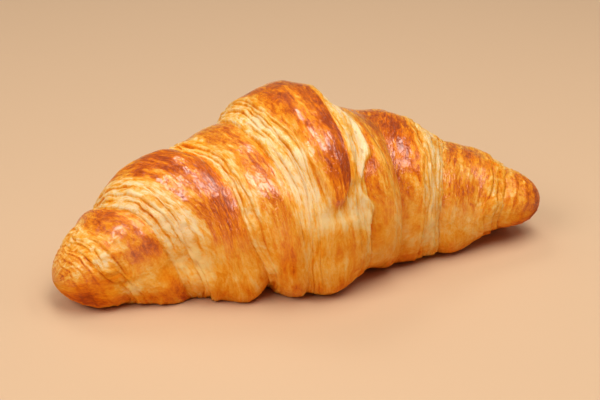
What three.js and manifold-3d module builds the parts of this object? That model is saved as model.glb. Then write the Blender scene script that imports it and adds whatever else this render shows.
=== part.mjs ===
// A butter croissant, baked as one piece, 165 mm from tip to tip.
// Frame: X runs from tip to tip, Z is up, and the origin is the middle of its footprint on the surface it lies on.
// The body is a closed skin round a slightly bent axis. The rolled dough shows as stepped wraps: each wrap has a
// rounded top band between a rim and the foot of the next one, and a sloping edge between a foot and a rim.
import * as THREE from 'three';
import { ParametricGeometry } from 'three/addons/geometries/ParametricGeometry.js';
import { mergeVertices } from 'three/addons/utils/BufferGeometryUtils.js';
import Module from 'manifold-3d';

// Driving dimensions, millimetres
const LENGTH = 165;
const HALF = LENGTH / 2;
const SHARE = [-1, -0.92, -0.85, -0.77, -0.7, -0.6, -0.5, -0.4, -0.3, -0.2, -0.1, 0, 0.1, 0.2, 0.3, 0.4, 0.5, 0.6, 0.7, 0.8, 0.9, 1]; // stations, as a share of HALF
const HEIGHT = [20, 24.4, 25.9, 31, 36.1, 39.9, 42.9, 42.7, 45.2, 49.7, 52.4, 53.4, 53.2, 48.2, 43.2, 42.4, 40.4, 35.5, 31, 29.8, 28.2, 28.4];
const WIDTH = [28.1, 29.8, 31, 31.6, 32.8, 36.7, 42.9, 50.1, 58.1, 65.2, 70.7, 72.4, 69.2, 62, 55.4, 51.1, 47.9, 43.9, 40.5, 39.3, 39.3, 40];
const AXIS_Y = [-7.5, -6.6, -5.8, -4.4, -3.3, -2.1, -1.4, -0.7, -0.3, 0.3, 0.3, 0, 0.8, 2.5, 3.2, 1.7, 1.1, 0, -2.1, -4.8, -6.8, -7.5];
const AXIS_HEIGHT = 0.44; // of the height there
const UNDER = 1.1; // depth below the axis, as a share of the axis height, before the flat underside cuts it
const ROUND_TOP = 2.2; // exponents of the section's two halves
const ROUND_UNDER = 2.7;
const TIP_LEFT = 9.25; // exponents that round the two tips
const TIP_RIGHT = 4.33;
const STEP = [0.9, 1.3, 1.1]; // half the height of each step on the left, from the tip inwards
const STEP_RIGHT = [1.4, 1.2]; // and on the right, from the middle outwards
const CROWN = 3.4; // how far the last wrap stands out
const CROWN_SWELL = 1.6;
const SWELL = 0.9; // how far each top band bulges
const CROWN_END = [66, 78]; // degrees: the last wrap's point, on the front
const UNDERSIDE = [128, 160]; // degrees: the steps fade out on the underside
const AROUND = 60; // facets round the body
const COLUMNS = [3, 4, 3, 5, 3, 4, 3, 4, 3, 5, 3, 4, 3]; // facets between each two lines
const TIP_COLUMNS = [8, 8];

// Each line runs round the body: [angle, place along X]. 0 degrees is the top, 90 the front, -90 the back.
const LINES = [
  [ [-180, -70], [-140, -76], [-90, -76.5], [-30, -77.5], [0, -77], [40, -75], [70, -72], [100, -68], [140, -63] ], // foot_1
  [ [-180, -63], [-140, -70.5], [-90, -70.3], [-36, -70.2], [-3, -71], [35, -68.9], [56, -66.3], [74, -64.1], [109, -60.7], [140, -55] ], // rim_1
  [ [-180, -54], [-140, -65], [-90, -65.5], [-31, -64.4], [8, -62.5], [31, -59], [50, -56], [70, -53.6], [98, -50], [128, -45.2], [140, -42.5] ], // foot_2
  [ [-180, -46.4], [-140, -58.3], [-90, -59.5], [-22, -59.8], [-9, -57.8], [9, -54.2], [26, -50.2], [44, -45.9], [57, -42.3], [70, -40.2], [82, -38.6], [98, -37.1], [122, -35.4], [140, -34.5] ], // rim_2
  [ [-180, -33], [-140, -45], [-90, -43.5], [-40, -42], [-16, -40], [-2, -36.4], [16, -32.6], [34, -30.6], [52, -28.9], [66, -27.8], [83, -26.4], [102, -23.9], [124, -20.6], [140, -19.5] ], // foot_3
  [ [-180, -25.5], [-140, -34.2], [-90, -33.3], [-18, -32.3], [9, -29.6], [32, -26.9], [50, -25], [64, -23.7], [81, -22], [98, -20.2], [119, -17.3], [140, -15.5] ], // rim_3
  [ [-180, -15], [-140, -20.8], [-90, -21.2], [-37, -20.2], [-2, -19.4], [20, -18.5], [38, -16.6], [52, -14.7], [62, -12.9], [76, -11], [89, -9.9], [104, -8.4], [130, -5.5], [140, -5] ], // foot_4
  [ [-180, -6.5], [-140, -15.8], [-90, -15], [-27, -13.4], [-4, -11.8], [13, -10.7], [30, -8.7], [46, -6.3], [56, -4.1], [66, -2.9], [75, -2.5], [100, -2.6], [140, -1.2] ], // crown_left
  [ [-180, 10], [-140, 20], [-90, 14], [-10, 5.3], [9, 3.5], [23, 2.7], [38, 2.4], [48, 2.4], [56, 2.3], [64, 2.1], [75, 1.6], [100, 2.8], [140, 3.4] ], // crown_right
  [ [-180, 19], [-140, 29], [-90, 23], [-18, 14.2], [7, 11.4], [32, 9.2], [43, 8.5], [54, 7.6], [66, 6.8], [78, 6.8], [90, 7], [102, 7.4], [126, 9], [140, 9.5] ], // foot_5
  [ [-180, 41], [-140, 49], [-90, 45], [-12, 38], [16, 35.9], [34, 34.8], [50, 34.5], [64, 34.1], [78, 34], [92, 33.7], [109, 33.6], [140, 34] ], // rim_5
  [ [-180, 51], [-140, 58.5], [-90, 55.5], [-11, 50.6], [10, 49.3], [30, 47.5], [49, 45.4], [67, 43.9], [84, 43], [103, 42.4], [140, 44] ], // foot_6
  [ [-180, 65], [-140, 70.5], [-90, 68], [-28, 65], [18, 64.2], [44, 63], [68, 61.6], [90, 60.6], [117, 60.8], [140, 61] ], // rim_6
  [ [-180, 70.5], [-140, 74.5], [-90, 73], [-30, 71.2], [10, 70.2], [35, 69.2], [68, 67.6], [88, 66.5], [118, 66.5], [140, 67] ], // foot_7
];

// A smooth curve through points, with slopes from their neighbours.
function curve(xs, ys, x) {
  const n = xs.length;
  x = Math.min(Math.max(x, xs[0]), xs[n - 1]);
  let i = 0;
  while (i < n - 2 && x >= xs[i + 1]) i++;
  const slope = (k) => (ys[k + 1] - ys[k]) / (xs[k + 1] - xs[k]);
  const tangent = (k) => {
    if (k === 0) return slope(0);
    if (k === n - 1) return slope(n - 2);
    const a = xs[k] - xs[k - 1], b = xs[k + 1] - xs[k];
    return (slope(k - 1) * b + slope(k) * a) / (a + b);
  };
  const h = xs[i + 1] - xs[i], u = (x - xs[i]) / h;
  const s = 2 * u ** 3 - 3 * u ** 2 + 1;
  return s * ys[i] + (1 - s) * ys[i + 1] + (u ** 3 - 2 * u ** 2 + u) * h * tangent(i) + (u ** 3 - u ** 2) * h * tangent(i + 1);
}

function smooth(a, b, x) {
  const t = Math.min(Math.max((x - a) / (b - a), 0), 1);
  return t * t * (3 - 2 * t);
}

// A line is a closed loop, so its points repeat past both ends.
const loops = LINES.map((points) => {
  const p = [...points, [180, points[0][1]]];
  const all = [...p.slice(-3, -1).map(([a, x]) => [a - 360, x]), ...p, ...p.slice(1, 3).map(([a, x]) => [a + 360, x])];
  return [all.map((q) => q[0]), all.map((q) => q[1])];
});
const lineAt = (k, angle) => curve(loops[k][0], loops[k][1], angle);

// How far each line stands out from the smooth body, before the underside flattens it.
function heights(angle) {
  const flank = 1 + 0.35 * smooth(70, 110, Math.abs(angle));
  const crown = CROWN * (1 - smooth(CROWN_END[0], CROWN_END[1], angle)) * smooth(-150, -110, angle);
  const out = [];
  for (const s of STEP) out.push(-s * flank, s * flank);
  out.push(-0.9, crown, crown, -0.9);
  for (const s of STEP_RIGHT) out.push(s * flank, -s * flank);
  return out;
}

// The place along X and the relief of one column of the skin at one angle.
function column(index, angle) {
  const last = LINES.length - 1;
  const h = heights(angle);
  const bump = (w) => Math.sin(Math.PI * w);
  let left = index;
  if (left < TIP_COLUMNS[0]) {
    const w = left / TIP_COLUMNS[0];
    return [-HALF + (lineAt(0, angle) + HALF) * (1 - Math.cos((Math.PI / 2) * w)), h[0] * w ** 2.2 + 0.5 * bump(w)];
  }
  left -= TIP_COLUMNS[0];
  for (let k = 0; k < COLUMNS.length; k++) {
    if (left >= COLUMNS[k]) {
      left -= COLUMNS[k];
      continue;
    }
    const w = left / COLUMNS[k];
    const a = lineAt(k, angle), b = lineAt(k + 1, angle);
    let share = w, swell = 0;
    if (k < 6) [share, swell] = k % 2 === 0 ? [w ** 0.85, 0] : [w ** 2.2, SWELL];
    else if (k === 6) share = w ** 1.1;
    else if (k === 7) swell = (CROWN_SWELL * h[7]) / CROWN;
    else if (k === 8) share = w ** 0.8;
    else [share, swell] = k % 2 === 1 ? [1 - (1 - w) ** 2.2, SWELL] : [1 - (1 - w) ** 0.85, 0];
    return [a + (b - a) * w, h[k] + (h[k + 1] - h[k]) * share + swell * bump(w)];
  }
  const w = 1 - left / TIP_COLUMNS[1];
  return [HALF + (lineAt(last, angle) - HALF) * (1 - Math.cos((Math.PI / 2) * w)), h[last] * w ** 2.2 + 0.5 * bump(w)];
}

// A point of the skin: relief outside the smooth body at a place along X and an angle round the axis.
function skin(x, angle, relief, target) {
  const t = Math.min(Math.max(x / HALF, -1), 1);
  const H = curve(SHARE, HEIGHT, t), W = curve(SHARE, WIDTH, t);
  const mid = AXIS_HEIGHT * H;
  const s = Math.sin((angle * Math.PI) / 180), c = Math.cos((angle * Math.PI) / 180);
  const n = c >= 0 ? ROUND_TOP : ROUND_UNDER, tall = c >= 0 ? H - mid : mid * UNDER;
  const r = (Math.abs(c / tall) ** n + Math.abs(s / (W / 2)) ** n) ** (-1 / n);
  const cap = Math.sqrt(Math.max(0, 1 - Math.abs(t) ** (t < 0 ? TIP_LEFT : TIP_RIGHT)));
  const side = (r + relief) * cap * s, up = mid + (r + relief) * cap * c;
  const a = Math.max(t - 1e-3, -1), b = Math.min(t + 1e-3, 1);
  const bend = (curve(SHARE, AXIS_Y, b) - curve(SHARE, AXIS_Y, a)) / ((b - a) * HALF), long = Math.hypot(1, bend);
  target.set(x + (side * bend) / long, curve(SHARE, AXIS_Y, t) - side / long, up);
}

const total = TIP_COLUMNS[0] + COLUMNS.reduce((a, b) => a + b, 0) + TIP_COLUMNS[1];
const surface = new ParametricGeometry((u, v, target) => {
  const angle = -180 + 360 * (u >= 1 ? 0 : u);
  const [x, relief] = column(Math.round(v * total), angle);
  skin(x, angle, relief * (1 - smooth(UNDERSIDE[0], UNDERSIDE[1], Math.abs(angle))), target);
}, AROUND, total);

// One closed surface with shared corners: the seam and the two tips are joined, and empty facets are dropped.
function closed(geometry) {
  geometry = geometry.clone();
  geometry.deleteAttribute('normal');
  geometry.deleteAttribute('uv');
  const merged = mergeVertices(geometry, 1e-3);
  const keep = [];
  const index = merged.index.array;
  for (let i = 0; i < index.length; i += 3) {
    const [a, b, c] = [index[i], index[i + 1], index[i + 2]];
    if (a !== b && b !== c && c !== a) keep.push(a, b, c);
  }
  return { points: merged.attributes.position.array, faces: new Uint32Array(keep) };
}

const wasm = await Module();
wasm.setup();
function solid(geometry) {
  const { points, faces } = closed(geometry);
  let made = new wasm.Manifold(new wasm.Mesh({ numProp: 3, vertProperties: points, triVerts: faces }));
  if (made.volume() < 0) {
    for (let i = 0; i < faces.length; i += 3) [faces[i + 1], faces[i + 2]] = [faces[i + 2], faces[i + 1]];
    made = new wasm.Manifold(new wasm.Mesh({ numProp: 3, vertProperties: points, triVerts: faces }));
  }
  return made;
}

// The underside is flat where the croissant lay on its tray.
const tray = new THREE.BoxGeometry(2 * LENGTH, 2 * LENGTH, 40).translate(0, 0, -20);
const mesh = solid(surface).subtract(solid(tray)).getMesh();
const geometry = new THREE.BufferGeometry();
const xyz = new Float32Array(mesh.numVert * 3);
for (let i = 0; i < mesh.numVert; i++) xyz.set(mesh.vertProperties.subarray(i * mesh.numProp, i * mesh.numProp + 3), i * 3);
geometry.setAttribute('position', new THREE.BufferAttribute(xyz, 3));
geometry.setIndex(new THREE.BufferAttribute(new Uint32Array(mesh.triVerts), 1));

// The origin goes to the middle of the footprint box.
geometry.computeBoundingBox();
const box = geometry.boundingBox;
geometry.translate(-(box.min.x + box.max.x) / 2, -(box.min.y + box.max.y) / 2, -box.min.z);
geometry.computeVertexNormals();

const crust = new THREE.MeshStandardMaterial({ color: 0xc8812f, roughness: 0.45, metalness: 0 });
const croissant = new THREE.Mesh(geometry, crust);
croissant.name = 'croissant';

const part = new THREE.Group();
part.add(croissant);

export default part;
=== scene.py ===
"""A butter croissant: one baked piece. Its skin is a grid of columns that follow the edges of the rolled wraps, so every
layer of the laminated dough is an edge in the mesh. Lengths inside the shape code are millimetres."""

import math

import bpy
import numpy as np
from mathutils import Matrix, Vector


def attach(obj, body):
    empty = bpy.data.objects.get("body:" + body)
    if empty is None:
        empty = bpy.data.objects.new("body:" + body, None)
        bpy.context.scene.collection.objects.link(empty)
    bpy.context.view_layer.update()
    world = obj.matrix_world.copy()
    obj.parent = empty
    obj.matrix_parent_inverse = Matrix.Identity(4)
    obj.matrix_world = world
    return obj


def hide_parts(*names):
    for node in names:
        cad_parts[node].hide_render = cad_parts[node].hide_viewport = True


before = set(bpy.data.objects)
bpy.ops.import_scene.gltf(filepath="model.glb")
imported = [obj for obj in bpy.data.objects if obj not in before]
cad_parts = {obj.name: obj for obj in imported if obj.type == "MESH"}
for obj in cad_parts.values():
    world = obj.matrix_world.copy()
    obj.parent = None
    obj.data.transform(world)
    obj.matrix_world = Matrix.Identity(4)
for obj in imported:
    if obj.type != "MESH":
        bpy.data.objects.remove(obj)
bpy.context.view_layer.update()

# ------------------------------------------------------------------ the smooth body, as in the CAD model
HALF = 82.5
SHARE = [-1, -0.92, -0.85, -0.77, -0.7, -0.6, -0.5, -0.4, -0.3, -0.2, -0.1, 0, 0.1, 0.2, 0.3, 0.4, 0.5, 0.6, 0.7, 0.8, 0.9, 1]
HEIGHT = [20, 24.4, 25.9, 31, 36.1, 39.9, 42.9, 42.7, 45.2, 49.7, 52.4, 53.4, 53.2, 48.2, 43.2, 42.4, 40.4, 35.5, 31, 29.8, 28.2, 28.4]
WIDTH = [28.1, 29.8, 31, 31.6, 32.8, 36.7, 42.9, 50.1, 58.1, 65.2, 70.7, 72.4, 69.2, 62, 55.4, 51.1, 47.9, 43.9, 40.5, 39.3, 39.3, 40]
AXIS_Y = [-7.5, -6.6, -5.8, -4.4, -3.3, -2.1, -1.4, -0.7, -0.3, 0.3, 0.3, 0, 0.8, 2.5, 3.2, 1.7, 1.1, 0, -2.1, -4.8, -6.8, -7.5]
AXIS_HEIGHT, UNDER, ROUND_TOP, ROUND_UNDER = 0.44, 1.1, 2.2, 2.7
TIP_LEFT, TIP_RIGHT = 9.25, 4.33
STEP = {"0": 0.9, "1": 1.3, "2": 1.1, "5": 1.4, "6": 1.2}
CROWN, CROWN_SWELL, SWELL = 3.4, 1.6, 0.9

# (angle round the body, place along X): 0 is the top, 90 the front, -90 the back
LINES = {
    "foot1": [(-180, -70), (-140, -76), (-90, -76.5), (-30, -77.5), (0, -77), (40, -75), (70, -72), (100, -68), (140, -63)],
    "rim1": [(-180, -63), (-140, -70.5), (-90, -70.3), (-36, -70.2), (-3, -71), (35, -68.9), (56, -66.3), (74, -64.1), (109, -60.7), (140, -55)],
    "foot2": [(-180, -54), (-140, -65), (-90, -65.5), (-31, -64.4), (8, -62.5), (31, -59), (50, -56), (70, -53.6), (98, -50), (128, -45.2), (140, -42.5)],
    "rim2": [(-180, -46.4), (-140, -58.3), (-90, -59.5), (-22, -59.8), (-9, -57.8), (9, -54.2), (26, -50.2), (44, -45.9), (57, -42.3), (70, -40.2), (82, -38.6), (98, -37.1), (122, -35.4), (140, -34.5)],
    "foot3": [(-180, -33), (-140, -45), (-90, -43.5), (-40, -42), (-16, -40), (-2, -36.4), (16, -32.6), (34, -30.6), (52, -28.9), (66, -27.8), (83, -26.4), (102, -23.9), (124, -20.6), (140, -19.5)],
    "rim3": [(-180, -25.5), (-140, -34.2), (-90, -33.3), (-18, -32.3), (9, -29.6), (32, -26.9), (50, -25), (64, -23.7), (81, -22), (98, -20.2), (119, -17.3), (140, -15.5)],
    "foot4": [(-180, -15), (-140, -20.8), (-90, -21.2), (-37, -20.2), (-2, -19.4), (20, -18.5), (38, -16.6), (52, -14.7), (62, -12.9), (76, -11), (89, -9.9), (104, -8.4), (130, -5.5), (140, -5)],
    "crown_l": [(-180, -6.5), (-140, -15.8), (-90, -15), (-27, -13.4), (-4, -11.8), (13, -10.7), (30, -8.7), (46, -6.3), (56, -4.1), (66, -2.9), (75, -2.5), (100, -2.6), (140, -1.2)],
    "crown_r": [(-180, 10), (-140, 20), (-90, 14), (-10, 5.3), (9, 4.2), (23, 3.4), (38, 3.0), (48, 2.9), (56, 2.7), (64, 2.2), (75, 1.6), (100, 2.8), (140, 3.4)],
    "foot5": [(-180, 19), (-140, 29), (-90, 23), (-18, 14.2), (7, 11.4), (32, 9.2), (43, 8.5), (54, 7.6), (66, 6.8), (78, 6.8), (90, 7), (102, 7.4), (126, 9), (140, 9.5)],
    "rim5": [(-180, 41), (-140, 49), (-90, 45), (-12, 38), (16, 35.9), (34, 34.8), (50, 34.5), (64, 34.1), (78, 34), (92, 33.7), (109, 33.6), (140, 34)],
    "foot6": [(-180, 51), (-140, 58.5), (-90, 55.5), (-11, 50.6), (10, 49.3), (30, 47.5), (49, 45.4), (67, 43.9), (84, 43), (103, 42.4), (140, 44)],
    "rim6": [(-180, 65), (-140, 70.5), (-90, 68), (-28, 65), (18, 64.2), (44, 63), (68, 61.6), (90, 60.6), (117, 60.8), (140, 61)],
    "foot7": [(-180, 70.5), (-140, 74.5), (-90, 73), (-30, 71.2), (10, 70.2), (35, 69.2), (68, 67.6), (88, 66.5), (118, 66.5), (140, 67)],
}

# Bands between the lines: kind, layers of dough that show, columns. A "rise" climbs from foot to rim going right, a "fall" drops.
BANDS = [
    ("tip_l", 6, 46),
    ("rise", 4, 0), ("top", 0, 24), ("rise", 5, 0), ("top", 0, 40), ("rise", 3, 0), ("top", 0, 26), ("rise", 6, 0),
    ("crown", 0, 42),
    ("fall", 3, 0), ("top", 0, 52), ("fall", 6, 0), ("top", 0, 32), ("fall", 3, 0),
    ("tip_r", 6, 42),
]
LAYER_STOPS = [0.0, 0.08, 0.2, 0.38, 0.6, 0.82]  # columns of one layer, from its own edge
AROUND = 204


def curve(xs, ys, x):
    xs, ys = np.asarray(xs, float), np.asarray(ys, float)
    x = np.clip(np.asarray(x, float), xs[0], xs[-1])
    d, h = np.diff(ys) / np.diff(xs), np.diff(xs)
    m = np.empty(len(xs))
    m[1:-1] = (d[:-1] * h[1:] + d[1:] * h[:-1]) / (h[1:] + h[:-1])
    m[0], m[-1] = d[0], d[-1]
    i = np.clip(np.searchsorted(xs, x, side="right") - 1, 0, len(xs) - 2)
    u = (x - xs[i]) / h[i]
    a, b = 2 * u**3 - 3 * u**2 + 1, u**3 - 2 * u**2 + u
    return a * ys[i] + (1 - a) * ys[i + 1] + b * h[i] * m[i] + (u**3 - u**2) * h[i] * m[i + 1]


def smooth(a, b, x):
    t = np.clip((x - a) / (b - a), 0, 1)
    return t * t * (3 - 2 * t)


def line(name, angle):
    p = LINES[name] + [(180, LINES[name][0][1])]
    p = [(a - 360, x) for a, x in p[-3:-1]] + p + [(a + 360, x) for a, x in p[1:3]]
    return curve([q[0] for q in p], [q[1] for q in p], angle)


def noise(x, y, z, seed):
    """Gradient noise, about -1 to 1, the same each run."""
    rng = np.random.default_rng(seed)
    perm = np.tile(rng.permutation(256), 2)
    grad = rng.normal(size=(256, 3))
    grad /= np.linalg.norm(grad, axis=1)[:, None]
    x, y, z = np.broadcast_arrays(np.asarray(x, float), y, z)
    i, j, k = (np.floor(v).astype(int) for v in (x, y, z))
    fx, fy, fz = x - i, y - j, z - k
    u, v, w = (f**3 * (f * (f * 6 - 15) + 10) for f in (fx, fy, fz))
    out = 0.0
    for a in (0, 1):
        for b in (0, 1):
            for c in (0, 1):
                g = grad[perm[(perm[(perm[(i + a) & 255] + j + b) & 255] + k + c) & 255]]
                dot = g[..., 0] * (fx - a) + g[..., 1] * (fy - b) + g[..., 2] * (fz - c)
                out = out + (u if a else 1 - u) * (v if b else 1 - v) * (w if c else 1 - w) * dot
    return out * 1.6


def fractal(x, y, z, seed, octaves=4, gain=0.55):
    total, amp, f = 0.0, 1.0, 1.0
    for o in range(octaves):
        total = total + amp * noise(x * f, y * f, z * f, seed + o)
        amp, f = amp * gain, f * 2.07
    return total


def around(angle, radius=25.0):
    """Where an angle lies on a plain cylinder, so a pattern meets itself on the underside."""
    return radius * np.cos(np.radians(angle)), radius * np.sin(np.radians(angle))


# ------------------------------------------------------------------ rows and columns
density = lambda a: np.where(np.abs(a) < 128, 1.0, 0.42)
fine = np.linspace(-180, 180, 3601)
total = np.concatenate([[0], np.cumsum(density((fine[1:] + fine[:-1]) / 2))])
ANGLES = np.interp(np.arange(AROUND) * total[-1] / AROUND, total, fine)
C1, C2 = around(ANGLES)


def last_wrap(angle, w):
    """How much of the last wrap's thickness is left: it thins towards its rounded point and ends there."""
    end = 75.5 - 7.5 * np.abs(2 * w - 0.9) ** 2.4
    soft = 4.0 + 22.0 * np.clip(1 - w / 0.45, 0, 1) ** 2
    return (1 - 0.55 * smooth(42, 70, angle)) * (1 - smooth(end - soft, end, angle)) * smooth(-150, -110, angle)


def line_heights(angle):
    flank = 1 + 0.35 * smooth(70, 110, np.abs(angle))
    point = last_wrap(angle, 0.0)
    one = np.ones_like(angle)
    out = {}
    for k in ("1", "2", "3"):
        s = STEP[str(int(k) - 1)]
        out["foot" + k], out["rim" + k] = -s * flank, s * flank
    out["foot4"], out["foot5"] = -0.9 * one, -0.9 * one
    out["crown_l"], out["crown_r"] = CROWN * point, CROWN * last_wrap(angle, 1.0)
    out["rim5"], out["foot6"] = STEP["5"] * flank, -STEP["5"] * flank
    out["rim6"], out["foot7"] = STEP["6"] * flank, -STEP["6"] * flank
    return out, point


H_LINE, POINT = line_heights(ANGLES)
names = list(LINES)
X_LINE = {}
for n, name in enumerate(names):
    wob = 0.6 * fractal(n * 7.3, C1 * 0.08, C2 * 0.08, 50 + n, 2, 0.4)
    X_LINE[name] = line(name, ANGLES) + wob * (0.5 if name.startswith("crown") else 1.0)

cols = []  # each: x, relief, shift, band, place in the band, edge line, layer tread


def add(x, relief, band, w, lip=0.0, tread=0.5, layer=0, pale=0.0):
    one = np.ones_like(ANGLES)
    cols.append(dict(x=x * one, r=relief * one, band=band, w=w * one, lip=lip * one, tread=tread * one, layer=layer, pale=pale * one))


def layered(xa, xb, ra, rb, n, seed, band, falling, over=0.30, groove=0.20):
    """Columns of a laminated edge from the foot to the rim: each layer is a thin lip over a groove, then its tread."""
    rng = np.random.default_rng(seed)
    size = rng.uniform(0.55, 1.6, n)
    ends = np.concatenate([[0], np.cumsum(size)]) / size.sum()
    cuts, tall = [], []
    for k in range(n + 1):
        inside = 0.0 if k in (0, n) else 1.0
        w = ends[k] + inside * (0.75 / n * fractal(k * 3.1 + seed, C1 * 0.05, C2 * 0.05, seed, 3, 0.4) + 0.04 / n * noise(k * 9.1, C1 * 0.6, C2 * 0.6, seed + 3))
        cuts.append(np.clip(w, 0, 1))
        tall.append(np.clip(0.50 + 1.0 * fractal(k * 5.7 + seed, C1 * 0.08, C2 * 0.08, seed + 9, 3), 0.05, 1.5))
    for k in range(1, n + 1):
        cuts[k] = np.maximum(cuts[k], cuts[k - 1] + 0.22 / n)
    cuts = [c / cuts[-1] for c in cuts]
    tall = np.array(tall[:n])
    share = tall / tall.sum(0)
    rise = rb - ra
    done = np.zeros_like(ANGLES)
    made = []
    for k in range(n):
        a, b = cuts[k], cuts[k + 1]
        wide = np.abs(xb - xa) * (b - a)
        step = share[k] * rise
        for f in LAYER_STOPS:
            w = a + (b - a) * f
            r = ra + rise * done + step * (0.75 * smooth(0, 0.2, f) + 0.25 * f)
            r = r - groove * tall[k] * math.exp(-((f / 0.07) ** 2)) + 0.12 * tall[k] * math.exp(-(((f - 0.24) / 0.14) ** 2))
            shift = over * tall[k] * np.minimum(1, wide / 1.5) * math.exp(-(((f - 0.19) / 0.09) ** 2))
            ahead = tall[min(k + 1, n - 1)]
            seam = tall[k] * math.exp(-((f / 0.13) ** 2)) + ahead * math.exp(-(((f - 1) / 0.12) ** 2))
            made.append((w, r, shift, seam, f, k))
        done = done + share[k]
    if falling:
        made = made[::-1]
    toward_foot = 1.0 if falling else -1.0
    for w, r, shift, seam, f, k in made:
        add(xa + (xb - xa) * w + toward_foot * shift, r, band, w, seam, f, k)


def straight(i, n):
    return i / n


for b, (kind, layers, count) in enumerate(BANDS):
    if kind == "tip_l":
        xb, rb = X_LINE["foot1"], H_LINE["foot1"]
        for i in range(count):
            w = i / count
            arc = w * layers + 0.35 * fractal(w * 2.0, C1 * 0.05, C2 * 0.05, 77, 2)
            f = arc - np.floor(arc)
            ridge = (0.38 * np.exp(-((f - 0.20) / 0.14) ** 2) - 0.26 * np.exp(-((f - 0.0) / 0.10) ** 2) - 0.26 * np.exp(-((f - 1.0) / 0.10) ** 2)) * smooth(0.05, 0.3, w)
            x = -HALF + (xb + HALF) * (1 - math.cos(math.pi / 2 * w))
            add(x, rb * w**2.2 + 0.5 * math.sin(math.pi * w) + ridge, b, w, np.exp(-((f - 0.1) / 0.14) ** 2) * float(smooth(0.05, 0.3, w)), f)
    elif kind == "tip_r":
        xa, ra = X_LINE["foot7"], H_LINE["foot7"]
        for i in range(count + 1):
            w = 1 - i / count
            arc = w * layers + 0.35 * fractal(w * 2.0, C1 * 0.05, C2 * 0.05, 78, 2)
            f = arc - np.floor(arc)
            ridge = (0.32 * np.exp(-((f - 0.20) / 0.14) ** 2) - 0.22 * np.exp(-((f - 0.0) / 0.10) ** 2) - 0.22 * np.exp(-((f - 1.0) / 0.10) ** 2)) * smooth(0.05, 0.3, w)
            x = HALF + (xa - HALF) * (1 - math.cos(math.pi / 2 * w))
            add(x, ra * w**2.2 + 0.5 * math.sin(math.pi * w) + ridge, b, w, np.exp(-((f - 0.1) / 0.14) ** 2) * float(smooth(0.05, 0.3, w)), f)
    else:
        la, lb = names[b - 1], names[b]
        xa, xb, ra, rb = X_LINE[la], X_LINE[lb], H_LINE[la], H_LINE[lb]
        if kind == "rise":
            layered(xa, xb, ra, rb, layers, 100 + 13 * b, b, False)
        elif kind == "fall":
            layered(xb, xa, rb, ra, layers, 100 + 13 * b, b, True)
        else:
            for i in range(count):
                w = i / count
                if kind == "crown":
                    r = (CROWN + CROWN_SWELL * math.sin(math.pi * w)) * last_wrap(ANGLES, w)
                elif la.startswith("rim") and lb.startswith("foot") and b < 8:
                    r = ra + (rb - ra) * w**2.2 + SWELL * math.sin(math.pi * w)
                else:
                    r = ra + (rb - ra) * (1 - (1 - w) ** 2.2) + SWELL * math.sin(math.pi * w)
                add(x=xa + (xb - xa) * w, relief=r, band=b, w=w)

X = np.array([c["x"] for c in cols])
R = np.array([c["r"] for c in cols])
BAND = np.array([c["band"] for c in cols])[:, None] * np.ones_like(X, int)
W = np.array([c["w"] for c in cols])
LIP = np.array([c["lip"] for c in cols])
TREAD = np.array([c["tread"] for c in cols])
PHI = np.broadcast_to(ANGLES, X.shape)
NU = len(cols)
U = X[:, (ANGLES > -20) & (ANGLES < 110)].mean(1)[:, None] * np.ones_like(X)  # millimetres across the wraps
A1, A2 = np.broadcast_to(C1, X.shape), np.broadcast_to(C2, X.shape)
KIND = np.array([k for k, _, _ in BANDS])[BAND]
RISE = (KIND == "rise") | (KIND == "fall")


def place(x, angle, delta):
    t = np.clip(x / HALF, -1, 1)
    tall, wide = curve(SHARE, HEIGHT, t), curve(SHARE, WIDTH, t)
    mid = AXIS_HEIGHT * tall
    s, c = np.sin(np.radians(angle)), np.cos(np.radians(angle))
    up = (np.abs(c / (tall - mid)) ** ROUND_TOP + np.abs(s / (wide / 2)) ** ROUND_TOP) ** (-1 / ROUND_TOP)
    low = (np.abs(c / (mid * UNDER)) ** ROUND_UNDER + np.abs(s / (wide / 2)) ** ROUND_UNDER) ** (-1 / ROUND_UNDER)
    r = np.where(c >= 0, up, low)
    cap = np.sqrt(np.clip(1 - np.abs(t) ** np.where(t < 0, TIP_LEFT, TIP_RIGHT), 0, 1))
    side, z = (r + delta) * cap * s, mid + (r + delta) * cap * c
    e = 1e-3
    lo, hi = np.clip(t - e, -1, 1), np.clip(t + e, -1, 1)
    bend = (curve(SHARE, AXIS_Y, hi) - curve(SHARE, AXIS_Y, lo)) / (hi - lo) / HALF
    long = np.hypot(1, bend)
    return np.stack([x + side * bend / long, curve(SHARE, AXIS_Y, t) - side / long, np.maximum(z, 0)], -1)


def spot(x, angle, rx, ra):
    """A soft spot on the skin: 1 at its middle."""
    return np.exp(-(((X - x) / rx) ** 2) - (((PHI - angle) / ra) ** 2))


FLAT = 1 - smooth(128, 160, np.abs(PHI))
UNDERNEATH = smooth(118, 142, np.abs(PHI))

plain = place(X, PHI, R * FLAT)
low, high = plain.reshape(-1, 3).min(0), plain.reshape(-1, 3).max(0)
OFFSET = np.array([(low[0] + high[0]) / 2, (low[1] + high[1]) / 2, 0])

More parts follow.
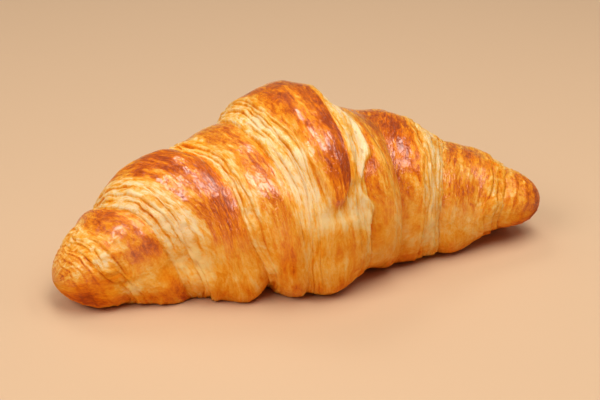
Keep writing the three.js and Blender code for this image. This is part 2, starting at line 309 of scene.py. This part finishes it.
# ------------------------------------------------------------------ the finer relief
SIDE = smooth(0.0, 0.08, (HALF - np.abs(X)) / HALF)  # the tips stay calm
PLATEAU = np.where(RISE, 0.0, 1.0)
lumps = 0.60 * fractal(X * 0.06, A1 * 0.06, A2 * 0.06, 11, 3, 0.45)
streaks = (0.17 - 0.04 * PLATEAU) * fractal(U * 0.34, A1 * 0.06, A2 * 0.06, 21, 3, 0.45)
folds = 0.15 * fractal(U * 1.1, A1 * 0.12, A2 * 0.12, 31, 3) * (1 - 0.65 * PLATEAU)
blister = (0.13 - 0.06 * PLATEAU) * fractal(U * 0.42, A1 * 0.26, A2 * 0.26, 41, 3, 0.5)
FLANK = smooth(68, 98, np.abs(PHI))
detail = (lumps * (1 - smooth(84, 118, np.abs(PHI))) + (streaks + folds) * (1 - 0.5 * FLANK) + blister * (1 + 0.9 * FLANK)) * (0.25 + 0.75 * SIDE)

# the thin film of dough beside the last wrap: its free edge stands over a crevice
EDGE_A = [-20, 0, 20, 30, 40, 50, 55, 60, 66, 71, 75, 79, 85, 92, 100, 120, 140]
EDGE_X = [12.6, 12.2, 11.8, 11.0, 10.3, 9.5, 7.9, 6.3, 5.2, 5.4, 6.9, 7.6, 6.8, 6.3, 6.5, 7.6, 8.6]
off_edge = X - curve(EDGE_A, EDGE_X, np.clip(PHI, -20, 140)) - 0.35 * noise(A1 * 0.35, A2 * 0.35, 3.0, 91)
film = smooth(4, 24, PHI) * (1 - smooth(94, 106, PHI)) * ((BAND == 9) | (BAND == 10))
film_side = film * (1 - smooth(-0.1, 0.5, off_edge))
pocket = film * (0.55 * np.exp(-((off_edge / 1.3) ** 2)) * (off_edge < 0) - 1.25 * smooth(-0.1, 0.5, off_edge) * np.exp(-np.clip(off_edge, 0, 9) / 2.0))
# small tears and flakes along the lower edge
tears = -1.2 * spot(-20.3, 123, 0.7, 7) - 0.8 * spot(-45.8, 124, 0.8, 6) + 0.8 * spot(-54.5, 133, 1.2, 6) + 0.6 * spot(-42.5, 131, 1.4, 6) - 0.7 * spot(5.2, 118, 0.5, 10)
under_point = -0.5 * spot(0, 79, 4.5, 3)
# the lower edge stands out under the fat wraps and curls in between them, most of all under the right end
FOOT_X = [-82, -78, -71, -62, -56, -48, -40, -33, -26, -20.3, -15, -9, -4, 0, 4, 8, 12, 20, 30, 36, 42, 50, 56, 60, 64, 68, 74, 80]
FOOT_PUSH = [0, 0.6, 1.3, 0.9, 1.4, 2.4, 2.2, 1.3, 2.2, -0.2, 0.3, 1.7, 2.6, 3.2, 1.2, -0.5, -1.1, -0.6, -0.8, 0, 1.6, 1.2, -0.4, -1.8, -2.5, -2.5, -1.8, -0.9]
undercut = curve(FOOT_X, FOOT_PUSH, X) * smooth(98, 121, PHI) - 0.9 * smooth(109, 130, -PHI) - 1.8 * spot(81, 108, 6, 26)
P = place(X, PHI, (R + detail + pocket + tears + under_point) * FLAT + undercut * (1 - smooth(148, 168, np.abs(PHI)))) - OFFSET


# ------------------------------------------------------------------ how much each place has browned (with some painted shade), and where the egg wash shines
ragged = 0.9 * fractal(U * 0.16, A1 * 0.07, A2 * 0.07, 81, 4) + 0.5 * fractal(U * 0.5, A1 * 0.12, A2 * 0.12, 82, 3)
bake_and_shade = np.full_like(X, 0.4)
wash = np.zeros_like(X)
for b, (kind, layers, count) in enumerate(BANDS):
    m = BAND == b
    if kind in ("rise", "fall"):
        pale = {1: 0.20, 3: 0.09, 5: 0.16, 7: 0.08, 9: 0.20, 11: 0.19, 13: 0.26}[b]
        bake_and_shade = np.where(m, pale + (0.10 if b == 9 else 0.26) * W**4 + (0.16 if b == 9 else 0.34) * LIP, bake_and_shade)
        wash = np.where(m, 0.18 + 0.3 * W**4, wash)
    elif kind == "top":
        v = (W if b < 8 else 1 - W) + 0.16 * ragged
        strong = {2: 0.60, 4: 0.68, 6: 0.52, 10: 0.56, 12: 0.50}[b]
        start = {2: 0.0, 4: 0.04, 6: 0.02, 10: 0.0, 12: 0.0}[b]
        body = 0.24 + (strong - 0.24) * smooth(start - 0.12, start + 0.2, v) * (1 - 0.42 * smooth(0.80, 1.05, v))
        bake_and_shade = np.where(m, body, bake_and_shade)
        wash = np.where(m, 1.15 * smooth(-0.1, 0.12, v) * (1 - 0.6 * smooth(0.9, 1.1, v)), wash)
    elif kind == "crown":
        v = W + 0.14 * ragged + 0.32 * (1 - smooth(2, 46, PHI))
        bake_and_shade = np.where(m, 0.30 + 0.35 * smooth(0.0, 0.55, v), bake_and_shade)
        wash = np.where(m, 1.15 * smooth(-0.1, 0.12, v), wash)
bake_and_shade = np.where(KIND == "tip_l", 0.22 + 0.34 * LIP + 0.16 * np.exp(-(((TREAD - 0.75) / 0.2) ** 2)), bake_and_shade)
bake_and_shade = np.where(KIND == "tip_r", 0.33 + 0.28 * LIP + 0.10 * np.exp(-(((TREAD - 0.75) / 0.2) ** 2)), bake_and_shade)
wash = np.where((KIND == "tip_l") | (KIND == "tip_r"), 0.45, wash)
# below the point of the last wrap the previous turn shows
below = np.where(BAND == 8, 1 - np.clip(last_wrap(PHI, W) / 0.3, 0, 1), smooth(64, 80, PHI)) * smooth(0, 30, PHI) * ((BAND == 7) | (BAND == 8) | (BAND == 9))
bake_and_shade = bake_and_shade * (1 - below) + below * (0.32 + 0.10 * noise(X * 0.2, A1 * 0.1, A2 * 0.1, 6))
wash = wash * (1 - 0.8 * below)
# the flanks brown less than the top
flank = np.clip(smooth(60, 96, PHI) + smooth(60, 110, -PHI) * 0.7, 0, 1)
bake_and_shade = bake_and_shade + flank * np.where(RISE, 0.45, 0.70) * (0.25 - bake_and_shade)
wash = wash * (1 - 0.92 * smooth(70, 104, np.abs(PHI)))
bake_and_shade = bake_and_shade * (1 - film_side) + film_side * (0.14 - 0.12 * np.exp(-(((off_edge + 0.7) / 0.7) ** 2)) + 0.18 * fractal(U * 0.6, A1 * 0.12, A2 * 0.12, 63, 3))
wash = wash * (1 - 0.6 * film_side) * (1 - 0.8 * film * smooth(0.0, 0.6, off_edge) * np.exp(-np.clip(off_edge, 0, 9) / 4.0))
# painted shade: darker just beyond the film's free edge, in the crevice under it
bake_and_shade = bake_and_shade + 0.12 * film * smooth(0.0, 0.6, off_edge) * np.exp(-np.clip(off_edge, 0, 9) / 2.5)
drop = last_wrap(PHI, W)
step_face = (BAND == 8) * smooth(0.15, 0.4, W) * smooth(40, 60, PHI) * np.exp(-(((drop - 0.18) / 0.16) ** 2))
bake_and_shade = bake_and_shade * (1 - step_face) + 0.60 * step_face
# browned and pale places, and some painted shade: x, angle, spread in x and angle, strength (above 0 is browner or
# darker)
for x, a, rx, ra, s in [
    (-46, -4, 7, 12, 0.20), (-36, 25, 3.5, 20, 0.10), (-33.5, 48, 2.5, 25, 0.12), (-57.5, 74, 4, 11, 0.20), (-66, 14, 4, 14, 0.06),
    (-74, 92, 7, 22, 0.30), (-80, 60, 3, 30, 0.14), (-34, 84, 5, 12, 0.10), (-24, 5, 4, 14, 0.10), (-17, 92, 3.5, 16, 0.16),
    (1, 57, 3.4, 10, 0.16), (-8, 4, 5, 26, 0.16), (80, 66, 3.5, 60, 0.14), (68, 40, 3, 16, 0.08), (2.5, 28, 2.2, 26, 0.10), (-2, -8, 8, 14, 0.08), (33, 12, 4, 24, 0.16), (32, 62, 2.5, 14, 0.10),
    # on this row, painted shade: (-62, 124) and (70, 124) darken the lower edge by the floor, (8.6, 97) the slot below
    # the film; (-76, 114) and (78, 110) are browner tip bottoms, darkened further as painted shade
    (27, 84, 5, 12, 0.10), (52, 58, 4, 10, 0.24), (57, 8, 6, 18, 0.16), (78, 30, 5, 40, 0.12), (77, 92, 7, 24, 0.26), (-76, 114, 7, 14, 0.46), (-62, 124, 8, 8, 0.22), (2.6, 34, 2.6, 30, 0.12), (31.5, 18, 4, 28, 0.15), (64, 42, 5, 60, 0.09), (78, 110, 8, 14, 0.28), (2.5, 60, 2.6, 10, 0.10), (15, 66, 5, 20, -0.20), (8.6, 97, 1.0, 9, 0.22), (22, 82, 8, 16, -0.07), (32.5, 28, 3.5, 34, 0.16), (-74, 0, 8, 30, 0.10), (-63, 110, 3, 12, -0.14), (66, 10, 4, 40, 0.06), (70, 124, 8, 8, 0.2),
    (-1, 82, 4.5, 5, -0.22), (3.5, 93, 2.6, 7, 0.22), (16, 96, 6, 20, -0.04), (28, -5, 7, 18, 0.12), (38.5, 100, 3.5, 40, -0.16), (38, 56, 3, 30, -0.08), (-7, 72, 5, 16, -0.14), (80.5, 88, 3, 60, 0.18), (80, 40, 3.5, 40, 0.10),
    (-44, 76, 4, 22, -0.16), (-7, 80, 4.5, 12, -0.10), (-60, 112, 4, 12, -0.05), (12, 12, 5, 20, -0.10),
]:
    bake_and_shade = bake_and_shade + s * spot(x, a, rx, ra)
bake_and_shade = bake_and_shade + 0.11 * fractal(X * 0.09, A1 * 0.09, A2 * 0.09, 61, 3) + 0.10 * fractal(U * 0.5, A1 * 0.05, A2 * 0.05, 62, 4)
# painted shade: darker towards the lower edge, where the body turns under towards the floor
bake_and_shade = bake_and_shade + 0.16 * smooth(108, 124, np.abs(PHI))
bake_and_shade = bake_and_shade * (1 - 0.25 * UNDERNEATH) + 0.16 * UNDERNEATH
# the very ends brown evenly
END = 1 - smooth(0.0, 1.0, (1 - np.abs(X) / HALF) / np.where(X < 0, 0.018, 0.055))
bake_and_shade = bake_and_shade * (1 - END) + END * np.where(X < 0, 0.44, 0.60)
bake_and_shade = np.clip(bake_and_shade, 0.02, 1.0)
wash = wash + 0.5 * spot(-9, 18, 3, 24) + 0.4 * spot(54, 44, 6, 20) + 0.5 * spot(26, 34, 6, 30) + 0.4 * spot(-62, 36, 7, 26)
wash = np.clip(wash + 0.20 * fractal(X * 0.12, A1 * 0.12, A2 * 0.12, 71, 3), 0, 1)
sag = smooth(62, 98, np.abs(PHI)) * (1 - UNDERNEATH)

# ------------------------------------------------------------------ the mesh
points = P[1:-1].reshape(-1, 3)
inner = NU - 2
left_pole, right_pole = P[0].mean(0), P[-1].mean(0)
verts = np.concatenate([points, [left_pole, right_pole]]) / 1000
i, j = np.meshgrid(np.arange(inner - 1), np.arange(AROUND), indexing="ij")
k = (j + 1) % AROUND
quads = np.stack([i * AROUND + j, i * AROUND + k, (i + 1) * AROUND + k, (i + 1) * AROUND + j], -1).reshape(-1, 4)
jj = np.arange(AROUND)
kk = (jj + 1) % AROUND
n = len(points)
fan_l = np.stack([kk, jj, np.full(AROUND, n)], -1)
last = (inner - 1) * AROUND
fan_r = np.stack([last + jj, last + kk, np.full(AROUND, n + 1)], -1)
mesh = bpy.data.meshes.new("croissant_crust")
mesh.from_pydata(verts.tolist(), [], quads.tolist() + fan_l.tolist() + fan_r.tolist())
mesh.update()
mesh.validate()


def centre_out(me):
    """Faces point outwards."""
    import bmesh

    bm = bmesh.new()
    bm.from_mesh(me)
    if bm.calc_volume(signed=True) < 0:
        bmesh.ops.reverse_faces(bm, faces=bm.faces)
    bm.to_mesh(me)
    bm.free()


centre_out(mesh)


def store(name, values, left, right):
    flat = np.concatenate([values[1:-1].reshape(-1), [left, right]]).astype(np.float32)
    mesh.attributes.new(name, "FLOAT", "POINT").data.foreach_set("value", flat)


store("bake_and_shade", bake_and_shade, 0.44, 0.60)
store("wash", wash, 0.3, 0.3)
store("sag", sag, 0, 0)
flow = np.stack([U, A1, A2], -1)
flow = np.concatenate([flow[1:-1].reshape(-1, 3), [[U[0, 0], 0, 0], [U[-1, 0], 0, 0]]]).astype(np.float32)
mesh.attributes.new("flow", "FLOAT_VECTOR", "POINT").data.foreach_set("vector", flow.ravel())
mesh.polygons.foreach_set("use_smooth", np.ones(len(mesh.polygons), bool))

# the map for baking: columns across, rows up, each pole spread along its side
corner = np.empty(len(mesh.loops), int)
mesh.loops.foreach_get("vertex_index", corner)
sides = np.empty(len(mesh.polygons), int)
mesh.polygons.foreach_get("loop_total", sides)
owner = np.repeat(np.arange(len(sides)), sides)
column, row = corner // AROUND + 1, corner % AROUND
pole = corner >= n
row_high = np.zeros(len(sides), int)
np.maximum.at(row_high, owner[~pole], row[~pole])
row_low = np.full(len(sides), AROUND)
np.minimum.at(row_low, owner[~pole], row[~pole])
seam = (row_high == AROUND - 1) & (row_low == 0)
row = np.where(seam[owner] & (row == 0), AROUND, row).astype(float)
row = np.where(pole, np.where(seam, AROUND - 0.5, row_low + 0.5)[owner], row)
column = np.where(pole, np.where(corner == n, 0, NU - 1), column)
grid = np.stack([0.004 + 0.992 * column / (NU - 1), 0.004 + 0.992 * row / AROUND], -1).astype(np.float32)
mesh.uv_layers.new(name="OFBake").data.foreach_set("uv", grid.ravel())
croissant = bpy.data.objects.new("croissant_crust", mesh)
bpy.context.collection.objects.link(croissant)
print("faces", len(mesh.polygons), "triangles", sum(len(p.vertices) - 2 for p in mesh.polygons))

# ------------------------------------------------------------------ the crust
crust = bpy.data.materials.new("egg_washed_crust")
crust.use_nodes = True
nt = crust.node_tree
nt.nodes.clear()


def node(kind, **sets):
    made = nt.nodes.new(kind)
    for key, value in sets.items():
        if key.startswith("in_"):
            made.inputs[key[3:].replace("_", " ")].default_value = value
        else:
            setattr(made, key, value)
    return made


def join(a, b):
    nt.links.new(a, b)


def attribute(name, vector=False):
    made = node("ShaderNodeAttribute", attribute_name=name, attribute_type="GEOMETRY")
    return made.outputs["Vector" if vector else "Fac"]


def maths(op, a, b=None, c=None, clamp=False):
    made = node("ShaderNodeMath", operation=op, use_clamp=clamp)
    for socket, value in zip(made.inputs, (a, b, c)):
        if value is None:
            continue
        if isinstance(value, (int, float)):
            socket.default_value = value
        else:
            join(value, socket)
    return made.outputs[0]


def pattern(vector, scale, detail=4.0, rough=0.55, distortion=0.0):
    """Noise on a vector stretched by scale, (across, around, around) in cells per unit."""
    mapping = node("ShaderNodeMapping")
    mapping.inputs["Scale"].default_value = scale
    join(vector, mapping.inputs["Vector"])
    made = node("ShaderNodeTexNoise", noise_dimensions="3D")
    made.inputs["Scale"].default_value = 1.0
    made.inputs["Detail"].default_value = detail
    made.inputs["Roughness"].default_value = rough
    made.inputs["Distortion"].default_value = distortion
    join(mapping.outputs[0], made.inputs["Vector"])
    return made.outputs["Fac"]


flow_v = attribute("flow", True)
bake_and_shade_v, wash_v, sag_v = attribute("bake_and_shade"), attribute("wash"), attribute("sag")
broad = pattern(flow_v, (0.30, 0.10, 0.10), 9, 0.66, 0.9)
streak = pattern(flow_v, (0.85, 0.19, 0.19), 8, 0.68, 0.7)
thread = pattern(flow_v, (1.9, 0.50, 0.50), 5, 0.65, 0.6)
fleck = pattern(flow_v, (1.5, 1.2, 1.2), 5, 0.68, 0.4)
swell = pattern(flow_v, (0.30, 0.16, 0.16), 2, 0.45, 0.4)
wrinkle = pattern(flow_v, (0.85, 0.24, 0.24), 2, 0.4, 0.5)


def about(noise_value, amount):
    return maths("MULTIPLY", maths("SUBTRACT", noise_value, 0.5), amount)


calm = maths("MULTIPLY_ADD", sag_v, -0.75, 1.0)
mottle = pattern(flow_v, (0.26, 0.20, 0.20), 6, 0.62, 1.2)
crisp = maths("MULTIPLY_ADD", about(streak, 4.0), 1.0, 0.5, clamp=True)
tone = maths("ADD", bake_and_shade_v, maths("MULTIPLY", about(broad, 0.95), calm))
tone = maths("ADD", tone, maths("MULTIPLY", about(streak, 0.35), calm))
tone = maths("ADD", tone, maths("MULTIPLY", about(crisp, 0.30), calm))
tone = maths("ADD", tone, maths("MULTIPLY", about(mottle, 0.85), sag_v))
tone = maths("ADD", tone, maths("MULTIPLY", about(thread, 0.66), calm))
tone = maths("ADD", tone, about(fleck, 0.46), clamp=True)
ramp = node("ShaderNodeValToRGB")
ramp.color_ramp.interpolation = "LINEAR"
stops = [
    (0.00, (0.97, 0.71, 0.40)),
    (0.14, (0.96, 0.59, 0.215)),
    (0.28, (0.94, 0.455, 0.072)),
    (0.42, (0.89, 0.34, 0.016)),
    (0.56, (0.83, 0.23, 0.004)),
    (0.70, (0.70, 0.148, 0.001)),
    (0.84, (0.54, 0.088, 0.001)),
    (1.00, (0.36, 0.050, 0.001)),
]
elements = ramp.color_ramp.elements
while len(elements) < len(stops):
    elements.new(0.5)
for element, (at, colour) in zip(elements, stops):
    element.position = at
    element.color = (*colour, 1)
join(tone, ramp.inputs["Fac"])

# the pale flanks are yellower and greyer than the pale edges on top
tint = node("ShaderNodeMix", data_type="RGBA", blend_type="MULTIPLY")
tint.inputs["B"].default_value = (0.97, 0.90, 0.62, 1)
join(maths("MULTIPLY", sag_v, maths("SUBTRACT", 1.0, tone, clamp=True)), tint.inputs["Factor"])
join(ramp.outputs["Color"], tint.inputs["A"])

# the glaze is broken up by fine cracks and wrinkles
crack = node("ShaderNodeTexVoronoi", feature="DISTANCE_TO_EDGE", voronoi_dimensions="3D")
crack.inputs["Scale"].default_value = 1.0
crack_map = node("ShaderNodeMapping")
crack_map.inputs["Scale"].default_value = (0.75, 0.30, 0.30)
warp = node("ShaderNodeVectorMath", operation="ADD")
warp_noise = node("ShaderNodeTexNoise", noise_dimensions="3D")
warp_noise.inputs["Scale"].default_value = 0.5
warp_noise.inputs["Detail"].default_value = 4
join(flow_v, warp_noise.inputs["Vector"])
warp_scale = node("ShaderNodeVectorMath", operation="SCALE")
warp_scale.inputs["Scale"].default_value = 5.0
join(warp_noise.outputs["Color"], warp_scale.inputs[0])
join(flow_v, warp.inputs[0])
join(warp_scale.outputs[0], warp.inputs[1])
join(warp.outputs[0], crack_map.inputs["Vector"])
join(crack_map.outputs[0], crack.inputs["Vector"])
sealed = maths("MULTIPLY", maths("SUBTRACT", crack.outputs["Distance"], 0.015), 14.0, clamp=True)
glaze = maths("MULTIPLY", maths("SUBTRACT", maths("ADD", broad, maths("MULTIPLY", streak, 0.7)), 0.68), 6.0, clamp=True)
gloss = maths("MULTIPLY", wash_v, maths("MULTIPLY_ADD", sealed, 0.4, 0.6))
gloss = maths("MULTIPLY", gloss, maths("MULTIPLY_ADD", glaze, 0.75, 0.25), clamp=True)

shader = node("ShaderNodeBsdfPrincipled")
shader.inputs["IOR"].default_value = 1.45
shader.inputs["Coat Roughness"].default_value = 0.07
shader.inputs["Coat IOR"].default_value = 1.85
shader.inputs["Subsurface Weight"].default_value = 0.20
shader.inputs["Subsurface Radius"].default_value = (1.0, 0.45, 0.15)
shader.inputs["Subsurface Scale"].default_value = 0.003
shader.inputs["Specular IOR Level"].default_value = 0.10
join(tint.outputs["Result"], shader.inputs["Base Color"])
join(gloss, shader.inputs["Coat Weight"])
join(maths("MULTIPLY_ADD", gloss, -0.28, 0.62), shader.inputs["Roughness"])

height = maths("MULTIPLY", swell, 0.42)
height = maths("MULTIPLY_ADD", wrinkle, 0.36, height)
height = maths("MULTIPLY_ADD", streak, 0.05, height)
height = maths("MULTIPLY_ADD", sealed, 0.10, height)
flaky = maths("MULTIPLY", maths("SUBTRACT", 1.0, wash_v, clamp=True), maths("ADD", maths("MULTIPLY", thread, 0.30), maths("MULTIPLY", fleck, 0.22)))
height = maths("ADD", height, flaky)
bump = node("ShaderNodeBump")
bump.inputs["Strength"].default_value = 0.8
bump.inputs["Distance"].default_value = 0.0006
join(height, bump.inputs["Height"])
join(bump.outputs["Normal"], shader.inputs["Normal"])
join(bump.outputs["Normal"], shader.inputs["Coat Normal"])
out = node("ShaderNodeOutputMaterial")
join(shader.outputs["BSDF"], out.inputs["Surface"])
mesh.materials.append(crust)

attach(croissant, "root")
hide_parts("croissant")

# ------------------------------------------------------------------ floor, light, camera
bpy.ops.mesh.primitive_plane_add(size=6, location=(0, 0, 0))
floor = bpy.context.object
floor.name = "floor"
paper = bpy.data.materials.new("plain_floor")
paper.use_nodes = True
paper.node_tree.nodes["Principled BSDF"].inputs["Base Color"].default_value = (0.67, 0.455, 0.285, 1)
paper.node_tree.nodes["Principled BSDF"].inputs["Roughness"].default_value = 0.85
floor.data.materials.append(paper)


def area(name, at, look, size, power, colour):
    """A soft box over the scene; its second side runs from the front to the back."""
    data = bpy.data.lights.new(name, "AREA")
    data.shape, data.size, data.size_y = "RECTANGLE", size[0], size[1]
    data.energy, data.color = power, colour
    obj = bpy.data.objects.new(name, data)
    away = (Vector(at) - Vector(look)).normalized()
    along = (Vector((0, 1, 0)) - away * away.y).normalized()
    across = along.cross(away)
    obj.matrix_world = Matrix((across, along, away)).transposed().to_4x4()
    obj.location = at
    bpy.context.collection.objects.link(obj)
    return obj


area("key", (-0.54, -0.26, 0.54), (0, 0, 0.02), (0.34, 0.52), 2.9, (1.0, 0.95, 0.87))
area("overhead", (0.09, -0.18, 0.78), (0, 0, 0.02), (0.32, 0.70), 3.7, (1.0, 0.95, 0.87))
area("behind", (0.0, 0.40, 0.62), (0, 0, 0.03), (0.16, 0.16), 0.40, (1.0, 0.97, 0.93))
area("right", (0.31, -0.09, 0.58), (0, 0, 0.02), (0.08, 0.50), 0.60, (1.0, 0.95, 0.87))
area("far_right", (0.52, -0.20, 0.54), (0, 0, 0.02), (0.06, 0.50), 0.40, (1.0, 0.97, 0.93))
front = area("front", (-0.22, -0.46, 0.84), (0, 0, 0.02), (0.50, 0.36), 1.0, (1.0, 0.95, 0.88))
rear = area("rear", (-0.10, 0.62, 0.80), (0, 0.15, 0), (0.80, 0.50), 1.4, (1.0, 0.97, 0.93))
front.visible_glossy = rear.visible_glossy = False
world = bpy.data.worlds.new("studio")
world.use_nodes = True
world.node_tree.nodes["Background"].inputs[0].default_value = (1.0, 0.96, 0.92, 1)
world.node_tree.nodes["Background"].inputs[1].default_value = 0.08
bpy.context.scene.world = world
bpy.context.scene.view_settings.view_transform = "Standard"

AZIMUTH, ELEVATION, DISTANCE = math.radians(-19.17), math.radians(25.0), 0.4597
target = Vector((-0.00012 - OFFSET[0] / 1000, -OFFSET[1] / 1000, 0.02026))
back = Vector((math.sin(AZIMUTH) * math.cos(ELEVATION), -math.cos(AZIMUTH) * math.cos(ELEVATION), math.sin(ELEVATION)))
lens = bpy.data.cameras.new("camera")
lens.lens, lens.sensor_width = 85.02, 36
camera = bpy.data.objects.new("camera", lens)
camera.location = target + back * DISTANCE
camera.rotation_euler = (-back).to_track_quat("-Z", "Y").to_euler()
bpy.context.collection.objects.link(camera)
bpy.context.scene.camera = camera
